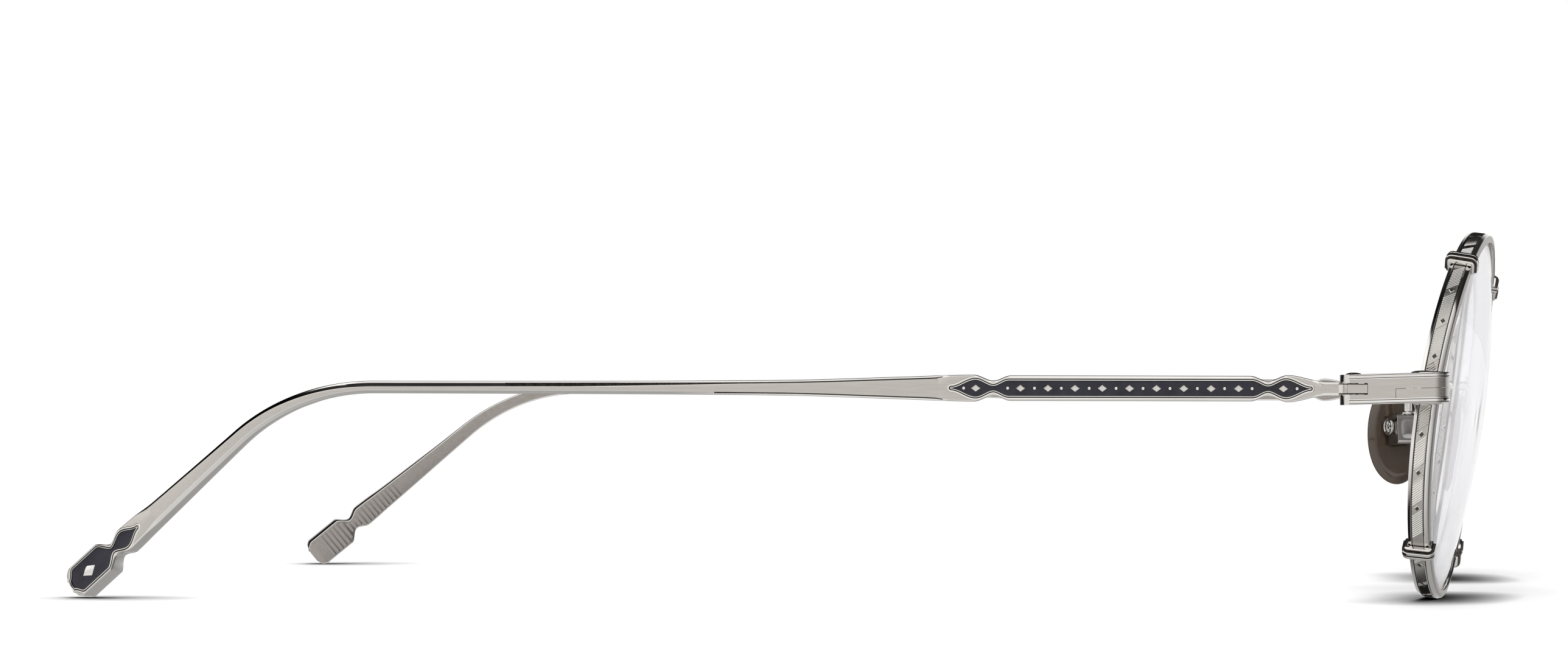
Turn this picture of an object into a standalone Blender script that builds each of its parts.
"""Round metal eyeglasses with engraved rims, enamelled temples and adjustable nose pads.

The frame stands open on a table: -Y is the way the wearer looks, +X is the wearer's left and +Z is up.
The shapes are worked out for the left side, with y and z counted from the hinge axis, and mirrored.
"""

import math

import bmesh
import bpy
from mathutils import Matrix, Vector

# Lenses: boxed size, distance between them, thickness and the radii of the curved front
LENS_WIDTH = 0.0427
LENS_HEIGHT = 0.0401
LENS_GAP = 0.02385
LENS_THICKNESS = 0.00155
LENS_RADIUS_ACROSS = 0.0804
LENS_RADIUS_UPRIGHT = 0.1152
LENS_BEVEL_WIDTH = 0.00038
LENS_BEVEL_WALL = 0.00040
LENS_PLAY = 0.00004

# Where the hinges and the lenses sit from each other, and how the front wraps and leans
HINGE_BESIDE = 0.006875
LENS_FORWARD = 0.0108
LENS_DROP = 0.00293
WRAP_ANGLE = math.radians(5.58)
LEAN_ANGLE = math.radians(7.645)

# Rim wire: thickness outwards, depth front to back, engraved band and polished bevels
RIM_THICKNESS = 0.0010
RIM_DEPTH = 0.00233
RIM_BEVEL = 0.00044
RIM_BEVEL_FALL = 0.00032
BAND_DEPTH = 0.00006
RIM_EDGE = 0.00011
RIM_SLIT = 0.00008

# Collars round the rims, by their angle from the outer end of the lens
COLLAR_ANGLES = {
    "upper_outer": math.radians(56.2),
    "upper_inner": math.radians(131.7),
    "lower_inner": math.radians(-126.0),
    "lower_outer": math.radians(-47.1),
}
COLLAR_LENGTH = 0.0016
COLLAR_HEIGHT = 0.00080
COLLAR_CHEEK = 0.00060
COLLAR_LEG = 0.00095
COLLAR_CHAMFER = 0.00024
COLLAR_RIBS = (
    (-0.5, 0.6), (-0.27, 0.78), (-0.21, 0.5), (-0.15, 1.0),
    (0.15, 1.0), (0.21, 0.5), (0.27, 0.78), (0.5, 0.6),
)

# End piece: the bar that turns from the rim back to the hinge
BAR_WIDTH = 0.0030
BAR_TOP = 0.001555
BAR_BOTTOM = 0.00171
BAR_SLOPE = math.radians(1.7)
LEG_AHEAD = 0.00215
LEG_BEHIND = 0.0008
LEG_CHAMFER = 0.0010
LEG_BITE = 0.0005
OUTER_CORNER = 0.0019
INNER_CORNER = 0.0016
SPLIT_HEIGHT = -0.00008
BLOCK_REAR = 0.0045
BLOCK_GAP = 0.00004

# Hinge: knuckle between two ears, its screw, and the heel that stops the temple when open
KNUCKLE_HEIGHT = 0.00114
KNUCKLE_PLAY = 0.00005
HEEL_REACH = 0.0015
HEEL_PLAY = 0.00005
HEEL_SIDE = 0.0006
NECK_START = 0.00115
SHOULDER_AT = 0.00162
SCREW_RADIUS = 0.00050
SCREW_PLAY = 0.00003
HEAD_RADIUS = 0.00092
HEAD_SEAT = 0.00020
HEAD_DOME = 0.00022
SLOT_WIDTH = 0.00030
SLOT_DEPTH = 0.00023
LOCK_SCREW_BEHIND = 0.0018
LOCK_SCREW_INSET = 0.0024
LOCK_SCREW_REACH = 0.0010

# Temple: length along its line, bend behind the ear, splay and the turn of its tip
TEMPLE_LENGTH = 0.1493
STRAIGHT_LENGTH = 0.1066
BEND_RADIUS = 0.0237
DROP_ANGLE = math.radians(40.28)
SPLAY = math.tan(math.radians(2.5537))
TIP_INWARD = math.tan(math.radians(11.7335))
TIP_TURN = math.radians(18.0)
NECK_HALF = 0.00076
SPEAR_HALF = 0.00146
WAIST_HALF = 0.00082
PANEL_HALF = 0.00138
BLADE_HALF = 0.00125
ROD_HALF = 0.00069
TAIL_HALF = 0.00130
TIP_SPEAR_HALF = 0.00142
TIP_WAIST_HALF = 0.00078
PADDLE_HALF = 0.00186
NECK_THICKNESS = 0.0019
PANEL_THICKNESS = 0.0020
ROD_THICKNESS = 0.0014
TIP_THICKNESS = 0.00180
PADDLE_THICKNESS = 0.00235
PANEL_BEVEL = 0.00017
ROD_BEVEL = 0.00038
DROP_BEVEL = 0.00028
TIP_BEVEL = 0.00014
WAIST_EASE = 0.0002

# Enamel: the panel's middle, and its waists and points from there, the tip's from its end
PANEL_MIDDLE = 0.02397
PANEL_SHOULDER = 0.0131
PANEL_WAIST = 0.01478
PANEL_SPEAR = 0.0167
PANEL_POINT = 0.01935
TIP_POINT = 0.0104
TIP_SPEAR = 0.0083
TIP_WAIST = 0.00650
TIP_SHOULDER = 0.00505
TIP_MARGIN = 0.00036
TIP_CORNER = 0.0010
ENAMEL_RIDGE = 0.00058
ENAMEL_NECK = 0.00021
ENAMEL_DEPTH = 0.00040
ENAMEL_SUNK = 0.00012
ENAMEL_PLAY = 0.00003
ENAMEL_TIP = 0.00004

# Bridge between the rims
BRIDGE_ANGLE = math.radians(152.0)
BRIDGE_RISE = 0.0024
BRIDGE_FORWARD = 0.0007
BRIDGE_HEIGHT = 0.0019
BRIDGE_DEPTH = 0.0017
BRIDGE_SWELL = 0.12
BRIDGE_STEPS = 16
BRIDGE_SIDES = 10

# Nose pads: their screw's place from the middle and the hinge, and the angles of the pad's face
PAD_SCREW_OUT = 0.01245
PAD_SCREW_FORWARD = 0.00440
PAD_SCREW_DOWN = 0.00435
PAD_SPLAY = math.radians(32.0)
PAD_FRONTAL = math.radians(5.5)
PAD_WIDTH = 0.0072
PAD_HEIGHT = 0.0122
PAD_THICKNESS = 0.0016
PAD_DROP = 0.0005
PAD_PEAR = 0.13
PAD_STEPS = 28
PAD_RINGS = ((0.8, 0.0), (0.88, 0.06), (1.0, 0.42), (0.97, 0.62), (0.7, 0.92))
PAD_BOX_GAP = 0.00033
BOX_WIDTH = 0.0030
BOX_INNER = 0.00085
BOX_OUTER = 0.00135
BOX_TOP = 0.0014
BOX_BOTTOM = 0.0021
BOX_CORNER = 0.00045
TAB_WIDTH = 0.00100
TAB_RADIUS = 0.00080
TAB_PLAY = 0.00005
PAD_SCREW_RADIUS = 0.00040
PAD_HEAD_RADIUS = 0.00093
PAD_HEAD_HEIGHT = 0.00062
PAD_HEAD_ROUND = 0.0002
ARM_RADIUS = 0.00050
ARM_ANGLE = math.radians(172.0)
ARM_BITE = 0.0004
ARM_INSET = 0.0003
ARM_RISE = 0.0044
ARM_TURNS = ((0.3, 0.4), (0.7, 0.72))
ARM_STEPS = 18
ARM_SIDES = 8
FLANGE_RADIUS = 0.00085
FLANGE_HEIGHT = 0.00030

# Fineness
SEAT_GAP = 0.00003
RIM_STEPS = 54
ROUND_STEPS = 18
WAIST_STEP = 0.00055
STRAIGHT_STEP = 0.0062
BEND_STEP = 0.0014

# Worked out from the sizes above
UP = Vector((0, 0, 1))
HINGE_OUT = LENS_WIDTH + LENS_GAP / 2 + HINGE_BESIDE
BAR_HALF = BAR_WIDTH / 2
RISE = math.tan(BAR_SLOPE)
RIM_HALF = RIM_DEPTH / 2
RIM_OUT = RIM_THICKNESS / 2
PATH_HALF_WIDTH = LENS_WIDTH / 2 + 0.17 * RIM_THICKNESS
PATH_HALF_HEIGHT = LENS_HEIGHT / 2 + 0.17 * RIM_THICKNESS
EYE_CENTRE = Vector(((LENS_WIDTH + LENS_GAP) / 2, -LENS_FORWARD, -LENS_DROP))
EYE_ACROSS = Vector((math.cos(WRAP_ANGLE), math.sin(WRAP_ANGLE), 0))
EYE_LEVEL = Vector((-math.sin(WRAP_ANGLE), math.cos(WRAP_ANGLE), 0))
EYE_UP = math.cos(LEAN_ANGLE) * UP - math.sin(LEAN_ANGLE) * EYE_LEVEL
EYE_BACK = math.cos(LEAN_ANGLE) * EYE_LEVEL + math.sin(LEAN_ANGLE) * UP
ARC_LENGTH = BEND_RADIUS * DROP_ANGLE
SIDES = {"right": -1, "left": 1}


def make_material(name, color, metallic, roughness, transmission=0.0):
    """A plain material of one colour."""
    material = bpy.data.materials.new(name)
    material.use_nodes = True
    shader = material.node_tree.nodes["Principled BSDF"]
    shader.inputs["Base Color"].default_value = (*color, 1)
    shader.inputs["Metallic"].default_value = metallic
    shader.inputs["Roughness"].default_value = roughness
    shader.inputs["Transmission Weight"].default_value = transmission
    material.diffuse_color = (*color, 1)
    return material


def make_empty(name, location, parent=None):
    """A pivot or a reference point."""
    empty = bpy.data.objects.new(name, None)
    empty.location = location
    empty.parent = parent
    empty.empty_display_size = 0.004
    bpy.context.scene.collection.objects.link(empty)
    return empty


class Assembly:
    """Puts the solids of one side under their pivots, and keeps the reach of the whole frame."""

    def __init__(self):
        self.root = make_empty("eyeglasses", (0, 0, 0))
        self.low = Vector((math.inf, math.inf, math.inf))
        self.high = -self.low

    def pivot(self, name, side, point):
        return make_empty(name, (side * point[0], point[1], point[2]), self.root)

    def place(self, name, mesh, side, material=None, pivot=None):
        """The mesh as an object, mirrored for the right side, with its origin on its pivot."""
        mesh.transform(Matrix.Diagonal((side, 1, 1, 1)))
        bmesh.ops.recalc_face_normals(mesh, faces=mesh.faces[:])
        if material:
            for vert in mesh.verts:
                self.low = Vector(map(min, self.low, vert.co))
                self.high = Vector(map(max, self.high, vert.co))
        if pivot:
            mesh.transform(Matrix.Translation(-pivot.location))
        data = bpy.data.meshes.new(name)
        mesh.to_mesh(data)
        mesh.free()
        solid = bpy.data.objects.new(name, data)
        solid.parent = pivot or self.root
        bpy.context.scene.collection.objects.link(solid)
        if material:
            data.materials.append(material)
            data.shade_smooth()
            data.set_sharp_from_angle(angle=math.radians(32))
        else:
            solid.hide_render = True
            solid.display_type = "WIRE"
        return solid

    def stand(self):
        """Moves the whole frame so that its origin is under the middle of its box, on the table."""
        middle = (self.low + self.high) / 2
        self.root.location = (0, -middle.y, -self.low.z)


def boolean(target, tool, operation="DIFFERENCE"):
    """Cuts the tool from the target, or joins it on."""
    modifier = target.modifiers.new(tool.name, "BOOLEAN")
    modifier.operation = operation
    modifier.solver = "EXACT"
    modifier.object = tool


def loft(rings, closed=False):
    """A skin through rings of points. A ring of one point is a pole, and open ends are capped."""
    mesh = bmesh.new()
    loops = [[mesh.verts.new(point) for point in ring] for ring in rings]
    pairs = list(zip(loops, loops[1:]))
    if closed:
        pairs.append((loops[-1], loops[0]))
    for first, second in pairs:
        for i in range(max(len(first), len(second))):
            corners = (
                first[i % len(first)],
                first[(i + 1) % len(first)],
                second[(i + 1) % len(second)],
                second[i % len(second)],
            )
            mesh.faces.new(dict.fromkeys(corners))
    if not closed:
        for loop in (loops[0], loops[-1]):
            if len(loop) > 2:
                mesh.faces.new(loop)
    return mesh


def arc(centre, radius, start, end, steps):
    """Points of an arc in a plane, from one angle in degrees to another."""
    angles = [math.radians(start + (end - start) * i / steps) for i in range(steps + 1)]
    return [(centre[0] + radius * math.cos(a), centre[1] + radius * math.sin(a)) for a in angles]


def prism(outline, low, high):
    """An upright solid over an outline of x and y, between two heights that may slope along y."""
    return loft([[(x, y, level(y)) for x, y in outline] for level in (low, high)])


def level(height):
    """A height that doesn't change along y."""
    return lambda y: height


def lathe(profile, origin, axis, steps=ROUND_STEPS):
    """A turned solid: the profile holds distances along the axis with their radii."""
    side = axis.orthogonal().normalized()
    other = axis.cross(side)
    turns = [2 * math.pi * i / steps for i in range(steps)]
    return loft([
        [origin + axis * along + radius * (math.cos(t) * side + math.sin(t) * other) for t in turns]
        for along, radius in profile
    ])


def smooth_curve(knots, at):
    """A smooth curve through knots of (place, value), which never swings past them."""
    if at <= knots[0][0]:
        return knots[0][1]
    if at >= knots[-1][0]:
        return knots[-1][1]
    i = max(k for k in range(len(knots) - 1) if knots[k][0] <= at)

    def rise(k):
        return (knots[k + 1][1] - knots[k][1]) / (knots[k + 1][0] - knots[k][0])

    def slope(k):
        if k == 0 or k == len(knots) - 1 or rise(k - 1) * rise(k) <= 0:
            return 0.0
        return 2 * rise(k - 1) * rise(k) / (rise(k - 1) + rise(k))

    width = knots[i + 1][0] - knots[i][0]
    t = (at - knots[i][0]) / width
    start = knots[i][1] * (1 + 2 * t) * (1 - t) ** 2 + slope(i) * width * t * (1 - t) ** 2
    end = knots[i + 1][1] * (3 - 2 * t) * t**2 - slope(i + 1) * width * (1 - t) * t**2
    return start + end


def spread(first, last, spacing):
    """Even places from first up to last, without last."""
    count = max(1, round((last - first) / spacing))
    return [first + (last - first) * i / count for i in range(count)]


# The rims and what sits on them


def eye_point(angle, outward=0.0, depth=0.0, share=1.0):
    """A point by its angle round the lens, outwards from the rim's middle line and back from its middle."""
    x = share * (PATH_HALF_WIDTH + outward) * math.cos(angle)
    z = share * (PATH_HALF_HEIGHT + outward) * math.sin(angle)
    bow = x * x / LENS_RADIUS_ACROSS + (z * z - PATH_HALF_HEIGHT**2) / LENS_RADIUS_UPRIGHT
    return EYE_CENTRE + x * EYE_ACROSS + z * EYE_UP + (bow / 2 + depth) * EYE_BACK


def bar_height(base):
    """A height on the end piece, which climbs towards the front."""
    return lambda y: base - RISE * y


def rim_beside_bar():
    """The rim's middle line along y, counted from the hinge, where the end piece meets it."""
    return eye_point(math.asin(LENS_DROP / PATH_HALF_HEIGHT)).y


def slit_angle():
    """The angle at which the rim is split, level with the split of the end piece."""
    height = bar_height(SPLIT_HEIGHT)(rim_beside_bar()) + LENS_DROP
    return math.asin(height / PATH_HALF_HEIGHT)


def bar_front():
    """The front face of the end piece, ahead of the rim."""
    return rim_beside_bar() - LEG_AHEAD


def rim_profile():
    """The rim's cross-section, outwards and back: a recessed band between bevels, and a V groove inside."""
    bevel = RIM_HALF - RIM_BEVEL
    band = bevel - BAND_DEPTH
    groove = LENS_BEVEL_WALL + LENS_PLAY / 2
    front = [
        (-RIM_OUT, -groove),
        (-RIM_OUT, RIM_EDGE - RIM_HALF),
        (RIM_EDGE - RIM_OUT, -RIM_HALF),
        (RIM_OUT - RIM_BEVEL_FALL, -RIM_HALF),
        (RIM_OUT, -bevel),
        (RIM_OUT - BAND_DEPTH, -band),
    ]
    rear = [(outward, -depth) for outward, depth in reversed(front)]
    return front + rear + [(LENS_BEVEL_WIDTH - RIM_OUT, 0.0)]


def rim():
    """One rim wire, open at its slit."""
    start = slit_angle()
    gap = RIM_SLIT / 2 / PATH_HALF_HEIGHT
    turn = 2 * math.pi - 2 * gap
    angles = [start + gap + turn * i / RIM_STEPS for i in range(RIM_STEPS + 1)]
    return loft([[eye_point(angle, *point) for point in rim_profile()] for angle in angles])


def rim_room():
    """The space that a rim takes, with the gap that its neighbours keep to it."""
    out = RIM_OUT + SEAT_GAP
    half = RIM_HALF + SEAT_GAP
    bevel = half - RIM_BEVEL
    fall = out - RIM_BEVEL_FALL
    profile = [(-out, -half), (fall, -half), (out, -bevel), (out, bevel), (fall, half), (-out, half)]
    angles = [slit_angle() + 2 * math.pi * i / RIM_STEPS for i in range(RIM_STEPS)]
    return loft([[eye_point(angle, *point) for point in profile] for angle in angles], closed=True)


def lens():
    """One lens: curved front and back faces, and an edge with a bevel that sits in the rim's groove."""
    start = slit_angle()
    angles = [start + 2 * math.pi * i / RIM_STEPS for i in range(RIM_STEPS)]
    face = LENS_THICKNESS / 2
    edge = -RIM_OUT - LENS_PLAY
    wall = LENS_BEVEL_WALL - LENS_PLAY / 2
    crest = LENS_BEVEL_WIDTH - RIM_OUT - LENS_PLAY
    shares = (0.45, 0.8)
    rings = [[eye_point(0, 0, -face, 0)]]
    rings += [[eye_point(angle, edge, -face, share) for angle in angles] for share in shares]
    for outward, depth in ((edge, -face), (edge, -wall), (crest, 0), (edge, wall), (edge, face)):
        rings.append([eye_point(angle, outward, depth) for angle in angles])
    rings += [[eye_point(angle, edge, face, share) for angle in angles] for share in reversed(shares)]
    rings.append([eye_point(0, 0, face, 0)])
    return loft(rings)


def collar(middle):
    """A ribbed collar that grips the rim from outside, with legs on the front and back faces."""
    seat = RIM_OUT + SEAT_GAP
    side = RIM_HALF + SEAT_GAP
    foot = RIM_OUT - COLLAR_LEG
    rings = []
    for along, share in COLLAR_RIBS:
        top = seat + COLLAR_HEIGHT * share
        half = side + COLLAR_CHEEK * share
        outer = [(foot, half), (top - COLLAR_CHAMFER, half), (top, half - COLLAR_CHAMFER)]
        inner = [(seat, side), (foot, side)]
        back = inner[::-1] + [(seat, -side)]
        profile = outer + [(outward, -depth) for outward, depth in reversed(outer)]
        profile += [(outward, -depth) for outward, depth in reversed(inner)] + inner
        angle = middle + along * COLLAR_LENGTH / PATH_HALF_HEIGHT
        rings.append([eye_point(angle, *point) for point in profile])
    return loft(rings)


def bridge():
    """The arched bar between the rims, wide at its ends, which the rims' own room trims."""
    end = eye_point(BRIDGE_ANGLE)
    rings = []
    for i in range(BRIDGE_STEPS + 1):
        across = 2 * i / BRIDGE_STEPS - 1
        lift = 1 - across * across
        centre = Vector((across * end.x, end.y - BRIDGE_FORWARD * lift, end.z + BRIDGE_RISE * lift))
        along = Vector((end.x, 2 * BRIDGE_FORWARD * across, -2 * BRIDGE_RISE * across)).normalized()
        up = (UP - along * along.z).normalized()
        back = up.cross(along)
        swell = 1 + BRIDGE_SWELL * across * across
        ring = []
        for k in range(BRIDGE_SIDES):
            turn = 2 * math.pi * k / BRIDGE_SIDES
            height = swell * BRIDGE_HEIGHT / 2 * math.cos(turn)
            depth = swell * BRIDGE_DEPTH / 2 * math.sin(turn)
            ring.append(centre + height * up + depth * back)
        rings.append(ring)
    return loft(rings)


# The end piece, its closing block and their screws


def bar_plan(rear):
    """The end piece from above, from the rim round both corners, with the given rear end."""
    inner = eye_point(slit_angle(), RIM_OUT).x - LEG_BITE
    leg_rear = rim_beside_bar() + LEG_BEHIND
    ahead = bar_front()
    corner = (HINGE_OUT + BAR_HALF - OUTER_CORNER, ahead + OUTER_CORNER)
    hollow = (HINGE_OUT - BAR_HALF - INNER_CORNER, leg_rear + INNER_CORNER)
    front = [(inner, leg_rear), (inner, ahead + LEG_CHAMFER), (inner + LEG_CHAMFER, ahead)]
    return front + arc(corner, OUTER_CORNER, -90, 0, 6) + rear + arc(hollow, INNER_CORNER, 0, -90, 5)


def ear_round():
    """The rounded rear of the hinge ears, about the hinge axis."""
    return arc((HINGE_OUT, 0), BAR_HALF, 0, 180, 12)


def knuckle_slot():
    """From above, the slot between the ears: round at the inner front, with a flat wall for the heel."""
    wall = -HEEL_REACH - HEEL_PLAY
    reach = 2 * BAR_WIDTH
    mouth = -NECK_THICKNESS / 2 - 3 * HEEL_PLAY
    first = math.degrees(math.asin(mouth / wall))
    curve = arc((HINGE_OUT, 0), -wall, -90, first - 180, 6)
    outer = [(HINGE_OUT + reach, reach), (HINGE_OUT + reach, wall)]
    return [(HINGE_OUT - reach, mouth), (HINGE_OUT - reach, reach)] + outer + curve


def knuckle_plan():
    """From above, the temple's knuckle: a disc, the heel at its outer front, and the run into the neck."""
    neck = NECK_THICKNESS / 2
    start = 180 - math.degrees(math.acos(neck / HEEL_REACH))
    inner = arc((HINGE_OUT, 0), HEEL_REACH, start, 270, 12)
    heel = [(HINGE_OUT + HEEL_REACH, -HEEL_REACH), (HINGE_OUT + HEEL_REACH, HEEL_SIDE)]
    end = 2 * SHOULDER_AT
    run = [(HINGE_OUT + neck, NECK_START), (HINGE_OUT + neck, end), (HINGE_OUT - neck, end)]
    return inner + heel + run


def end_piece():
    """The upper half of the bar, which runs full height behind the closing block to the hinge ears."""
    return prism(bar_plan(ear_round()), bar_height(-BAR_BOTTOM), bar_height(BAR_TOP))


def block_room():
    """The space of the closing block under the split, cut from the end piece."""
    wide = 3 * BAR_WIDTH
    ahead = 2 * bar_front()
    outline = [
        (HINGE_OUT - wide, ahead),
        (HINGE_OUT + wide, ahead),
        (HINGE_OUT + wide, -BLOCK_REAR),
        (HINGE_OUT - wide, -BLOCK_REAR),
    ]
    return prism(outline, level(-3 * BAR_BOTTOM), bar_height(SPLIT_HEIGHT))


def closing_block():
    """The lower half of the bar's front, fixed to the lower end of the rim."""
    rear = -BLOCK_REAR - BLOCK_GAP
    ends = [(HINGE_OUT + BAR_HALF, rear), (HINGE_OUT - BAR_HALF, rear)]
    return prism(bar_plan(ends), bar_height(-BAR_BOTTOM), bar_height(SPLIT_HEIGHT - BLOCK_GAP))


def hinge_screw():
    """The screw down through both ears, with a low domed head in its seat."""
    top = BAR_TOP - HEAD_SEAT
    profile = [(-BAR_BOTTOM, SCREW_RADIUS), (top, SCREW_RADIUS), (top, HEAD_RADIUS), (BAR_TOP, HEAD_RADIUS)]
    profile += [(BAR_TOP + 0.6 * HEAD_DOME, 0.8 * HEAD_RADIUS), (BAR_TOP + HEAD_DOME, 0.4 * HEAD_RADIUS)]
    return lathe(profile, Vector((HINGE_OUT, 0, 0)), UP)


def hinge_bore():
    """The hole for the hinge screw and the seat of its head."""
    top = BAR_TOP - HEAD_SEAT - SEAT_GAP
    play = SCREW_RADIUS + SCREW_PLAY
    seat = HEAD_RADIUS + SCREW_PLAY
    profile = [(-2 * BAR_BOTTOM, play), (top, play), (top, seat), (2 * BAR_TOP, seat)]
    return lathe(profile, Vector((HINGE_OUT, 0, 0)), UP)


def lock_screw_place():
    """The lock screw's axis, level with the hinge's middle."""
    return Vector((HINGE_OUT - LOCK_SCREW_INSET, bar_front() + LOCK_SCREW_BEHIND, 0))


def lock_screw_heights():
    """The underside of the block, the seat of the screw's head and the screw's end."""
    place = lock_screw_place().y
    under = bar_height(-BAR_BOTTOM)(place)
    end = bar_height(SPLIT_HEIGHT)(place) + LOCK_SCREW_REACH
    return under, under + 2.5 * HEAD_SEAT, end


def lock_screw():
    """The screw from below that closes the rim on the lens."""
    under, seat, end = lock_screw_heights()
    head = HEAD_RADIUS * 0.9
    profile = [(under + SEAT_GAP, head), (seat, head), (seat, SCREW_RADIUS), (end, SCREW_RADIUS)]
    return lathe(profile, lock_screw_place(), UP)


def lock_bore():
    """The hole for the lock screw, blind in the end piece, and the seat of its head."""
    under, seat, end = lock_screw_heights()
    head = HEAD_RADIUS * 0.9 + SCREW_PLAY
    play = SCREW_RADIUS + SCREW_PLAY
    seat += SEAT_GAP
    profile = [(under - BAR_BOTTOM, head), (seat, head), (seat, play), (end + SEAT_GAP, play)]
    return lathe(profile, lock_screw_place(), UP)


def screw_slot(origin, axis, across, radius):
    """The straight slot in a screw's head."""
    other = axis.cross(across)
    corners = [(-1, -1), (1, -1), (1, 1), (-1, 1)]
    return loft([
        [origin + axis * up + across * a * 1.3 * radius + other * b * SLOT_WIDTH / 2 for a, b in corners]
        for up in (-SLOT_DEPTH, 4 * SLOT_DEPTH)
    ])


# The temples


def temple_frame(s):
    """The middle of the temple s behind the hinge, with its outward, up and along directions."""
    bend = min(max(s - STRAIGHT_LENGTH, 0), ARC_LENGTH)
    tail = max(s - STRAIGHT_LENGTH - ARC_LENGTH, 0)
    turned = bend / BEND_RADIUS
    share = bend / ARC_LENGTH
    slant = SPLAY - (SPLAY + TIP_INWARD) * share
    x = SPLAY * min(s, STRAIGHT_LENGTH) + bend * (SPLAY + slant) / 2 - TIP_INWARD * tail
    y = min(s, STRAIGHT_LENGTH) + BEND_RADIUS * math.sin(turned) + tail * math.cos(DROP_ANGLE)
    z = -BEND_RADIUS * (1 - math.cos(turned)) - tail * math.sin(DROP_ANGLE)
    along = Vector((slant, math.cos(turned), -math.sin(turned))).normalized()
    outward = along.cross(Vector((0, math.sin(turned), math.cos(turned)))).normalized()
    up = outward.cross(along)
    twist = smooth_curve([(STRAIGHT_LENGTH, 0), (TEMPLE_LENGTH - 1.35 * TIP_POINT, TIP_TURN)], s)
    centre = Vector((HINGE_OUT + x, y, z))
    return (
        centre,
        math.cos(twist) * outward + math.sin(twist) * up,
        math.cos(twist) * up - math.sin(twist) * outward,
    )


def temple_point(s, outward, up):
    """A point on or in the temple, outwards and up from its middle line."""
    centre, outward_axis, up_axis = temple_frame(s)
    return centre + outward * outward_axis + up * up_axis


def temple_half(s):
    """Half the temple's height: neck, spear, panel, spear, blade, rod and the paddle at its tip."""
    return smooth_curve([
        (SHOULDER_AT, NECK_HALF),
        (1.8 * SHOULDER_AT, NECK_HALF),
        (PANEL_MIDDLE - PANEL_SPEAR - WAIST_EASE, SPEAR_HALF),
        (PANEL_MIDDLE - PANEL_WAIST, WAIST_HALF),
        (PANEL_MIDDLE - PANEL_SHOULDER + WAIST_EASE, PANEL_HALF),
        (PANEL_MIDDLE + PANEL_SHOULDER - WAIST_EASE, PANEL_HALF),
        (PANEL_MIDDLE + PANEL_WAIST, WAIST_HALF),
        (PANEL_MIDDLE + PANEL_SPEAR + WAIST_EASE, SPEAR_HALF),
        (2 * PANEL_MIDDLE, BLADE_HALF),
        (2.6 * PANEL_MIDDLE, 0.45 * BLADE_HALF + 0.4 * ROD_HALF),
        (3.3 * PANEL_MIDDLE, 1.06 * ROD_HALF),
        (STRAIGHT_LENGTH, ROD_HALF),
        (STRAIGHT_LENGTH + ARC_LENGTH, 1.28 * ROD_HALF),
        (TEMPLE_LENGTH - 1.1 * TIP_POINT, TAIL_HALF),
        (TEMPLE_LENGTH - TIP_SPEAR, TIP_SPEAR_HALF),
        (TEMPLE_LENGTH - TIP_WAIST - WAIST_EASE, TIP_WAIST_HALF),
        (TEMPLE_LENGTH - TIP_SHOULDER, PADDLE_HALF),
        (TEMPLE_LENGTH - TIP_CORNER, PADDLE_HALF),
        (TEMPLE_LENGTH - 0.3 * TIP_CORNER, PADDLE_HALF - 0.4 * TIP_CORNER),
        (TEMPLE_LENGTH, PADDLE_HALF - TIP_CORNER),
    ], s)


def temple_thickness(s):
    """How thick the temple is from its inner to its outer face."""
    return smooth_curve([
        (SHOULDER_AT, NECK_THICKNESS),
        (PANEL_MIDDLE - PANEL_SHOULDER, PANEL_THICKNESS),
        (PANEL_MIDDLE + PANEL_SPEAR, PANEL_THICKNESS),
        (3 * PANEL_MIDDLE, ROD_THICKNESS),
        (STRAIGHT_LENGTH, ROD_THICKNESS),
        (TEMPLE_LENGTH - 1.3 * TIP_POINT, TIP_THICKNESS),
        (TEMPLE_LENGTH - TIP_WAIST, TIP_THICKNESS),
        (TEMPLE_LENGTH - TIP_SHOULDER, PADDLE_THICKNESS),
    ], s)


def temple_bevel(s):
    """The polished bevel along both outer edges, which grows where the temple is a slim rod."""
    return smooth_curve([
        (2 * PANEL_MIDDLE, PANEL_BEVEL),
        (3.3 * PANEL_MIDDLE, ROD_BEVEL),
        (STRAIGHT_LENGTH, ROD_BEVEL),
        (STRAIGHT_LENGTH + ARC_LENGTH, DROP_BEVEL),
        (TEMPLE_LENGTH - 1.2 * TIP_POINT, DROP_BEVEL),
        (TEMPLE_LENGTH - TIP_SPEAR, TIP_BEVEL),
    ], s)


def temple():
    """One temple from its neck to its tip."""
    panel_start = PANEL_MIDDLE - PANEL_SHOULDER + 5 * WAIST_EASE
    panel_end = PANEL_MIDDLE + PANEL_SHOULDER - 5 * WAIST_EASE
    blade_start = 1.9 * PANEL_MIDDLE
    bend_end = STRAIGHT_LENGTH + ARC_LENGTH
    tip_start = TEMPLE_LENGTH - 1.05 * TIP_POINT
    stations = (
        spread(SHOULDER_AT, panel_start, WAIST_STEP)
        + spread(panel_start, panel_end, STRAIGHT_STEP)
        + spread(panel_end, blade_start, WAIST_STEP)
        + spread(blade_start, STRAIGHT_LENGTH, STRAIGHT_STEP)
        + spread(STRAIGHT_LENGTH, bend_end, BEND_STEP)
        + spread(bend_end, tip_start, 2 * BEND_STEP)
        + spread(tip_start, TEMPLE_LENGTH, WAIST_STEP)
        + [TEMPLE_LENGTH]
    )
    rings = []
    for s in stations:
        half = temple_half(s)
        thick = temple_thickness(s) / 2
        bevel = temple_bevel(s)
        outer = [(thick, half - bevel), (thick - bevel, half)]
        inner = [(bevel - thick, half), (-thick, half - bevel)]
        upper = outer + inner
        section = upper + [(out, -up) for out, up in reversed(upper)]
        rings.append([temple_point(s, *point) for point in section])
    return loft(rings)


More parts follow.
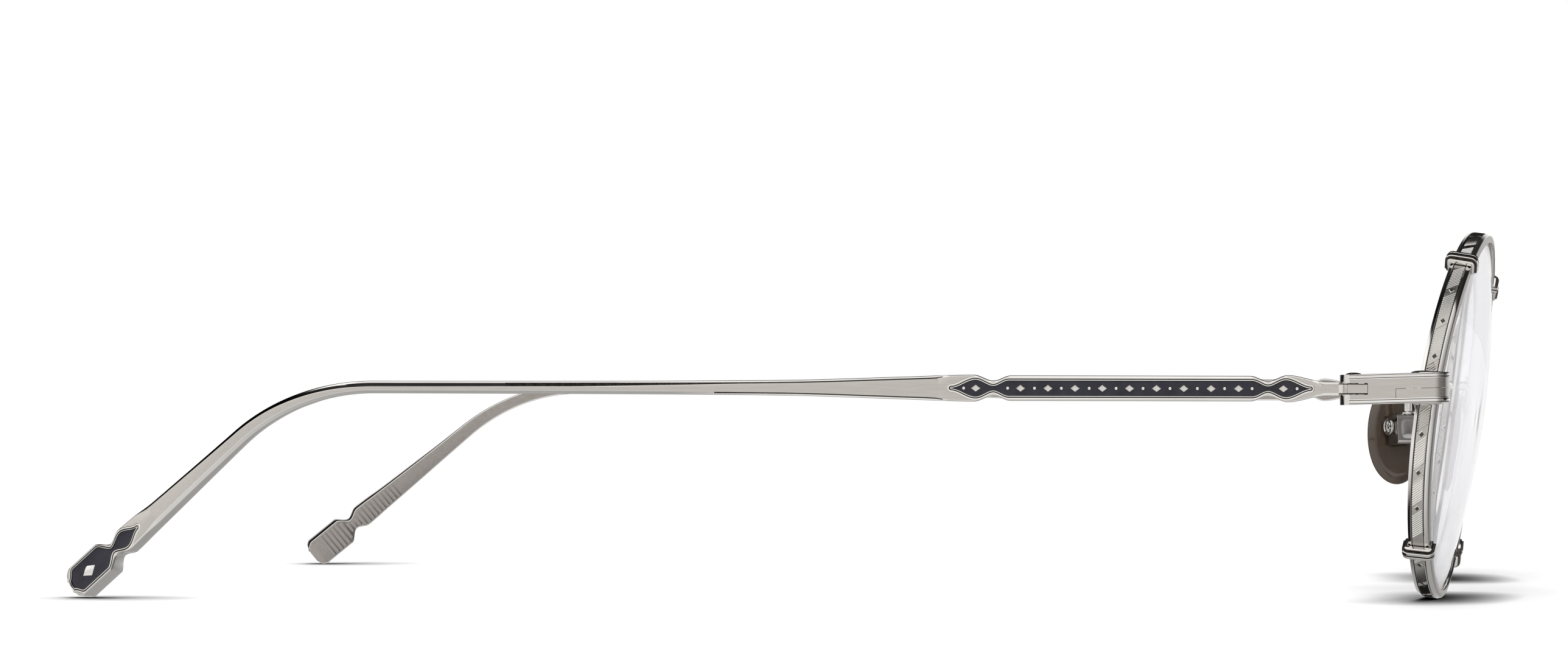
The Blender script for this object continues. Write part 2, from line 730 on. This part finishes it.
def panel_enamel_half(s):
    """Half the height of the enamel in the panel: a bar with a waist and a spear point at each end."""
    return smooth_curve([
        (PANEL_SHOULDER, PANEL_HALF - ENAMEL_RIDGE),
        (PANEL_WAIST, ENAMEL_NECK),
        (PANEL_SPEAR, SPEAR_HALF - ENAMEL_RIDGE),
        (PANEL_POINT, ENAMEL_TIP),
    ], abs(s - PANEL_MIDDLE))


def tip_enamel_half(s):
    """Half the height of the enamel in the tip: a spear point, a waist and a paddle with cut corners."""
    back = TEMPLE_LENGTH - s
    paddle = PADDLE_HALF - 0.8 * ENAMEL_RIDGE
    return smooth_curve([
        (TIP_MARGIN, paddle - 0.9 * TIP_CORNER),
        (TIP_MARGIN + TIP_CORNER, paddle),
        (TIP_SHOULDER, paddle),
        (TIP_WAIST, ENAMEL_NECK),
        (TIP_SPEAR, TIP_SPEAR_HALF - 0.9 * ENAMEL_RIDGE),
        (TIP_POINT, ENAMEL_TIP),
    ], back)


def enamel_bed(stations, half_of, play):
    """The enamel as a strip that follows the temple's outer face, or its bed, with play, as a cutter."""
    rings = []
    for s in stations:
        face = temple_thickness(s) / 2
        floor = face - ENAMEL_DEPTH - play
        top = face + ENAMEL_DEPTH if play else face - ENAMEL_SUNK
        half = half_of(s) + play
        section = [(floor, -half), (top, -half), (top, half), (floor, half)]
        rings.append([temple_point(s, *point) for point in section])
    return loft(rings)


def panel_stations():
    start = PANEL_MIDDLE - PANEL_POINT
    end = PANEL_MIDDLE + PANEL_POINT
    shoulder = PANEL_SHOULDER - WAIST_EASE
    bends = spread(start, PANEL_MIDDLE - shoulder, WAIST_STEP)
    middle = spread(PANEL_MIDDLE - shoulder, PANEL_MIDDLE + shoulder, STRAIGHT_STEP)
    return bends + middle + spread(PANEL_MIDDLE + shoulder, end, WAIST_STEP) + [end]


def tip_stations():
    end = TEMPLE_LENGTH - TIP_MARGIN
    return spread(TEMPLE_LENGTH - TIP_POINT, end, WAIST_STEP) + [end]


def knuckle():
    """The temple's knuckle, between the ears of the end piece."""
    half = KNUCKLE_HEIGHT / 2
    return prism(knuckle_plan(), level(-half), level(half))


def knuckle_bore():
    """The hole through the knuckle for the hinge screw."""
    play = SCREW_RADIUS + SCREW_PLAY
    return lathe([(-KNUCKLE_HEIGHT, play), (KNUCKLE_HEIGHT, play)], Vector((HINGE_OUT, 0, 0)), UP)


# The nose pads


PAD_AXIS = Vector((math.sin(PAD_SPLAY), math.cos(PAD_SPLAY), 0))
PAD_LEVEL = Vector((math.cos(PAD_SPLAY), -math.sin(PAD_SPLAY), 0))
PAD_OUT = math.cos(PAD_FRONTAL) * PAD_LEVEL + math.sin(PAD_FRONTAL) * UP
PAD_UP = math.cos(PAD_FRONTAL) * UP - math.sin(PAD_FRONTAL) * PAD_LEVEL
PAD_SCREW = Vector((PAD_SCREW_OUT, -PAD_SCREW_FORWARD, -PAD_SCREW_DOWN))


def pad_point(along, outward, up):
    """A point by its place along the pad's screw, out from the nose and up the pad."""
    return PAD_SCREW + along * PAD_AXIS + outward * PAD_OUT + up * PAD_UP


def nose_pad():
    """An oval pad with a bevelled back and a bowed face towards the nose."""
    back = -BOX_INNER - PAD_BOX_GAP
    rings = []
    for share, fall in PAD_RINGS:
        ring = []
        for i in range(PAD_STEPS):
            turn = 2 * math.pi * i / PAD_STEPS
            pear = 1 - PAD_PEAR * math.sin(turn)
            along = share * pear * PAD_WIDTH / 2 * math.cos(turn)
            up = share * PAD_HEIGHT / 2 * math.sin(turn) - PAD_DROP
            ring.append(pad_point(along, back - fall * PAD_THICKNESS, up))
        rings.append(ring)
    rings.append([pad_point(0, back - PAD_THICKNESS, -PAD_DROP)])
    return loft(rings)


def pad_tab():
    """The tab on the pad's back, round about the screw."""
    root = -BOX_INNER - PAD_BOX_GAP - 0.3 * PAD_THICKNESS
    half = TAB_WIDTH / 2
    outline = [(root, -TAB_RADIUS)] + arc((0, 0), TAB_RADIUS, -90, 90, 8) + [(root, TAB_RADIUS)]
    return loft([[pad_point(along, *point) for point in outline] for along in (-half, half)])


def pad_box():
    """The box on the pad arm that holds the tab between two cheeks."""
    half = BOX_WIDTH / 2
    inner = (-BOX_INNER, -BOX_BOTTOM)
    outline = [inner, (-BOX_INNER, BOX_TOP)]
    outline += arc((BOX_OUTER - BOX_CORNER, BOX_TOP - BOX_CORNER), BOX_CORNER, 90, 0, 4)
    outline += arc((BOX_OUTER - BOX_CORNER, BOX_CORNER - BOX_BOTTOM), BOX_CORNER, 0, -90, 4)
    return loft([[pad_point(along, *point) for point in outline] for along in (-half, half)])


def tab_slot():
    """The slot in the box in which the tab rocks."""
    half = TAB_WIDTH / 2 + TAB_PLAY
    reach = 2 * BOX_BOTTOM
    floor = TAB_RADIUS + TAB_PLAY
    outline = [(-reach, -reach), (floor, -reach), (floor, reach), (-reach, reach)]
    return loft([[pad_point(along, *point) for point in outline] for along in (-half, half)])


def pad_screw():
    """The screw through the box and the tab, with a tapered head towards the ear."""
    half = BOX_WIDTH / 2
    head = half + SEAT_GAP
    tip = head + PAD_HEAD_HEIGHT
    profile = [(-half, PAD_SCREW_RADIUS), (head, PAD_SCREW_RADIUS), (head, 0.75 * PAD_HEAD_RADIUS)]
    profile += [(tip - PAD_HEAD_ROUND, PAD_HEAD_RADIUS), (tip, 0.85 * PAD_HEAD_RADIUS)]
    return lathe(profile, PAD_SCREW, PAD_AXIS, 16)


def pad_bore(reach):
    """The hole for the pad's screw."""
    play = PAD_SCREW_RADIUS + SCREW_PLAY
    return lathe([(-reach, play), (reach, play)], PAD_SCREW, PAD_AXIS, 16)


def arm_route():
    """The arm's own points: from the back of the rim, up and over, and down into its box."""
    root = eye_point(ARM_ANGLE, 0, RIM_HALF - ARM_BITE)
    foot = pad_point(-ARM_INSET, BOX_OUTER - 1.3 * ARM_RADIUS, BOX_TOP + SEAT_GAP)
    top = foot.z + ARM_RISE
    run = foot - root
    bends = [Vector((root.x + a * run.x, root.y + b * run.y, 0)) for a, b in ARM_TURNS]
    return [
        root,
        root + Vector((0, 0.12 * run.y, ARM_BITE)),
        bends[0] + (top - ARM_RADIUS) * UP,
        bends[1] + top * UP,
        foot + 0.55 * ARM_RISE * UP,
        foot + 0.15 * ARM_RISE * UP,
        foot,
    ]


def pad_arm():
    """The round wire that carries the pad's box, with a small flange where it meets the box."""
    knots = arm_route()
    coordinates = [[(i, knot[k]) for i, knot in enumerate(knots)] for k in range(3)]
    places = [(len(knots) - 1) * i / ARM_STEPS for i in range(ARM_STEPS + 1)]
    line = [Vector([smooth_curve(coordinates[k], at) for k in range(3)]) for at in places]
    side = Vector((1, 0, 0))
    rings = []
    for i, point in enumerate(line):
        along = (line[min(i + 1, ARM_STEPS)] - line[max(i - 1, 0)]).normalized()
        side = (side - along * side.dot(along)).normalized()
        other = along.cross(side)
        turns = [2 * math.pi * k / ARM_SIDES for k in range(ARM_SIDES)]
        rings.append([point + ARM_RADIUS * (math.cos(t) * side + math.sin(t) * other) for t in turns])
    return loft(rings)


def arm_flange():
    """The small flange at the arm's foot."""
    foot = arm_route()[-1]
    profile = [(0, FLANGE_RADIUS), (0.6 * FLANGE_HEIGHT, FLANGE_RADIUS), (FLANGE_HEIGHT, 0.8 * FLANGE_RADIUS)]
    return lathe(profile, foot, PAD_UP, 14)


def build():
    """Makes both sides and stands the frame on the table."""
    for old in list(bpy.data.objects):
        bpy.data.objects.remove(old, do_unlink=True)
    metal = make_material("palladium_plated_metal", (0.70, 0.68, 0.65), 1.0, 0.22)
    glass = make_material("lens_glass", (0.93, 0.93, 0.96), 0.0, 0.02, 0.9)
    enamel = make_material("black_enamel", (0.02, 0.02, 0.03), 0.0, 0.15)
    dark = make_material("smoked_pad", (0.09, 0.065, 0.05), 0.0, 0.25)
    steel = make_material("screw_steel", (0.62, 0.60, 0.58), 1.0, 0.3)
    frame = Assembly()
    rooms = {}
    for name, side in SIDES.items():
        hinge = frame.pivot(f"temple_{name}_hinge", side, (HINGE_OUT, 0, 0))
        rocker = frame.pivot(f"nose_pad_{name}_pivot", side, PAD_SCREW)

        frame.place(f"rim_{name}", rim(), side, metal)
        frame.place(f"lens_{name}", lens(), side, glass)
        rooms[name] = frame.place(f"rim_room_{name}", rim_room(), side)
        for place, angle in COLLAR_ANGLES.items():
            frame.place(f"collar_{name}_{place}", collar(angle), side, metal)

        lock_hole = frame.place(f"lock_bore_{name}", lock_bore(), side)
        bar = frame.place(f"end_piece_{name}", end_piece(), side, metal)
        half = KNUCKLE_HEIGHT / 2 + KNUCKLE_PLAY
        slot = prism(knuckle_slot(), level(-half), level(half))
        boolean(bar, frame.place(f"block_room_{name}", block_room(), side))
        boolean(bar, frame.place(f"knuckle_slot_{name}", slot, side))
        boolean(bar, frame.place(f"hinge_bore_{name}", hinge_bore(), side))
        boolean(bar, lock_hole)
        boolean(bar, rooms[name])
        block = frame.place(f"closing_block_{name}", closing_block(), side, metal)
        boolean(block, lock_hole)
        boolean(block, rooms[name])
        pin = frame.place(f"hinge_screw_{name}", hinge_screw(), side, steel)
        top = Vector((HINGE_OUT, 0, BAR_TOP + HEAD_DOME))
        slot_way = Vector((math.cos(0.5), math.sin(0.5), 0))
        slit = screw_slot(top, UP, slot_way, HEAD_RADIUS)
        boolean(pin, frame.place(f"hinge_screw_slot_{name}", slit, side))
        frame.place(f"rim_lock_screw_{name}", lock_screw(), side, steel)

        arm = frame.place(f"temple_{name}", temple(), side, metal, hinge)
        boolean(arm, frame.place(f"knuckle_{name}", knuckle(), side, None, hinge), "UNION")
        boolean(arm, frame.place(f"knuckle_bore_{name}", knuckle_bore(), side, None, hinge))
        for part, stations, half_of in (
            ("temple_inlay", panel_stations(), panel_enamel_half),
            ("tip_inlay", tip_stations(), tip_enamel_half),
        ):
            bed = enamel_bed(stations, half_of, ENAMEL_PLAY)
            boolean(arm, frame.place(f"{part}_bed_{name}", bed, side, None, hinge))
            frame.place(f"{part}_{name}", enamel_bed(stations, half_of, 0), side, enamel, hinge)

        pad = frame.place(f"nose_pad_{name}", nose_pad(), side, dark, rocker)
        boolean(pad, frame.place(f"pad_tab_{name}", pad_tab(), side, None, rocker), "UNION")
        boolean(pad, frame.place(f"pad_tab_bore_{name}", pad_bore(TAB_WIDTH), side, None, rocker))
        box = frame.place(f"pad_box_{name}", pad_box(), side, metal)
        boolean(box, frame.place(f"tab_slot_{name}", tab_slot(), side))
        boolean(box, frame.place(f"pad_box_bore_{name}", pad_bore(BOX_WIDTH), side))
        frame.place(f"pad_screw_{name}", pad_screw(), side, steel)
        wire = frame.place(f"pad_arm_{name}", pad_arm(), side, metal)
        boolean(wire, frame.place(f"arm_flange_{name}", arm_flange(), side), "UNION")
        boolean(wire, rooms[name])

    bar = frame.place("bridge", bridge(), 1, metal)
    for room in rooms.values():
        boolean(bar, room)
    frame.stand()


build()
